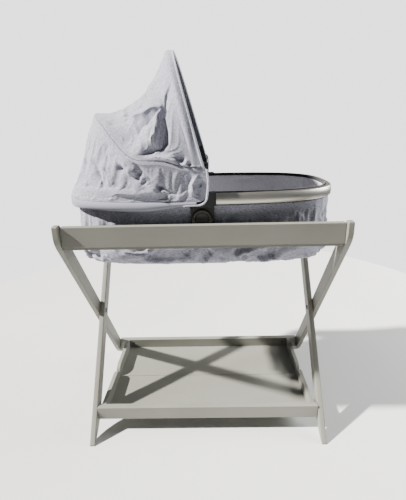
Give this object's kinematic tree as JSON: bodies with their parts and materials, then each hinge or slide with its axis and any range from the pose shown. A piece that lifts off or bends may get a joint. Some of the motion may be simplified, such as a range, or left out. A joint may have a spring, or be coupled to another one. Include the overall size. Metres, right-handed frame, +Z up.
{
  "type": "bassinet on folding stand",
  "caption": "Fabric carrycot with a folding hood, resting between the rails of a folding wooden X stand with a hinged storage tray.",
  "frame": {"origin": "on the floor, under the middle of the object's bounding box", "axes": "+X along the carrycot towards its foot end, -Y to the front rail, +Z up"},
  "size_m": [0.848, 0.479, 1.2584],
  "materials": {
    "painted_wood": "satin paint",
    "hardware": "dark zinc",
    "black_plastic": "matte",
    "melange_fabric": "melange weave",
    "lining_fabric": "plain weave",
    "mattress_fabric": "quilted knit",
    "rim_aluminium": "satin anodised",
    "black_metal": "powder coat",
    "dark_metal": "dark bronze"
  },
  "bodies": {
    "frame_outer": {"leg_outer_left": "painted_wood", "leg_outer_right": "painted_wood", "rail_front": "painted_wood", "ledge_front": "painted_wood", "pivot_bolt_left": "hardware", "pivot_bolt_right": "hardware", "pivot_nut_left": "hardware", "pivot_nut_right": "hardware", "pivot_washer_left": "hardware", "pivot_washer_right": "hardware", "tray_stud_back_left": "hardware", "tray_stud_back_right": "hardware", "foot_pad_outer_left": "black_plastic", "foot_pad_outer_right": "black_plastic"},
    "frame_inner": {"leg_inner_left": "painted_wood", "leg_inner_right": "painted_wood", "rail_back": "painted_wood", "ledge_back": "painted_wood", "tray_stud_front_left": "hardware", "tray_stud_front_right": "hardware", "foot_pad_inner_left": "black_plastic", "foot_pad_inner_right": "black_plastic"},
    "tray_front": {"tray_board_front": "painted_wood", "tray_panel_front": "painted_wood", "tray_side_front_left": "painted_wood", "tray_side_front_right": "painted_wood", "tray_hinge_front_left": "hardware", "tray_hinge_front_right": "hardware"},
    "tray_back": {"tray_board_back": "painted_wood", "tray_panel_back": "painted_wood", "tray_side_back_left": "painted_wood", "tray_side_back_right": "painted_wood", "tray_hinge_back_left": "hardware", "tray_hinge_back_right": "hardware", "tray_screw_left": "hardware", "tray_screw_right": "hardware"},
    "carrycot": {"carrycot_shell": "melange_fabric", "carrycot_lining": "lining_fabric", "mattress": "mattress_fabric", "rim_tube_foot": "rim_aluminium", "rim_tube_head": "black_metal", "rim_piping": "black_plastic", "bracket_near": "black_plastic", "bracket_far": "black_plastic", "button_bezel_near": "dark_metal", "button_bezel_far": "dark_metal", "hub_pin_near": "dark_metal", "hub_pin_far": "dark_metal", "canopy_hem": "melange_fabric"},
    "hood_front": {"canopy_bow_front": "black_metal", "bow_arm_near": "black_plastic", "bow_arm_far": "black_plastic", "canopy_panel_front": "melange_fabric"},
    "hood_rear": {"canopy_bow_rear": "black_metal", "canopy_panel_rear": "melange_fabric"},
    "button_near": {"release_button_near": "black_plastic"},
    "button_far": {"release_button_far": "black_plastic"}
  },
  "joints": [
    {"name": "stand_fold", "type": "hinge", "parent": "frame_outer", "child": "frame_inner", "pos_m": [0, 0, 0.366], "axis": [1, 0, 0], "range_deg": [0, 51]},
    {"name": "tray_front_pivot", "type": "hinge", "parent": "frame_inner", "child": "tray_front", "pos_m": [0, -0.178, 0.063], "axis": [1, 0, 0], "range_deg": [0, 58]},
    {"name": "tray_middle_hinge", "type": "hinge", "parent": "tray_front", "child": "tray_back", "pos_m": [0, 0, 0.0531], "axis": [1, 0, 0], "range_deg": [-167, 0]},
    {"name": "carrycot_lift", "type": "slide", "parent": "frame_outer", "child": "carrycot", "axis": [0, -0.1559, 0.9878], "range_m": [0, 1.07]},
    {"name": "hood_rear_fold", "type": "hinge", "parent": "carrycot", "child": "hood_rear", "pos_m": [0.008, 0, 0.888], "axis": [0, -1, 0], "range_deg": [0, 21.5], "deforming": ["canopy_panel_rear"]},
    {"name": "hood_fold", "type": "hinge", "parent": "hood_rear", "child": "hood_front", "pos_m": [0.008, 0, 0.888], "axis": [0, -1, 0], "range_deg": [0, 34.7], "deforming": ["canopy_panel_front"]},
    {"name": "button_near_press", "type": "slide", "parent": "carrycot", "child": "button_near", "axis": [0, 1, 0], "range_m": [0, 0.004], "stiffness_N_per_m": 500, "springref_m": -0.002},
    {"name": "button_far_press", "type": "slide", "parent": "carrycot", "child": "button_far", "axis": [0, -1, 0], "range_m": [0, 0.004], "stiffness_N_per_m": 500, "springref_m": -0.002}
  ],
  "couplings": [
    {"joint": "tray_front_pivot", "follows": "stand_fold", "ratio": 1.1357},
    {"joint": "tray_middle_hinge", "follows": "stand_fold", "ratio": -3.2714},
    {"joint": "carrycot_lift", "follows": "stand_fold", "m_per_rad": 1.2},
    {"joint": "hood_rear_fold", "follows": "hood_fold", "ratio": 0.6129}
  ]
}
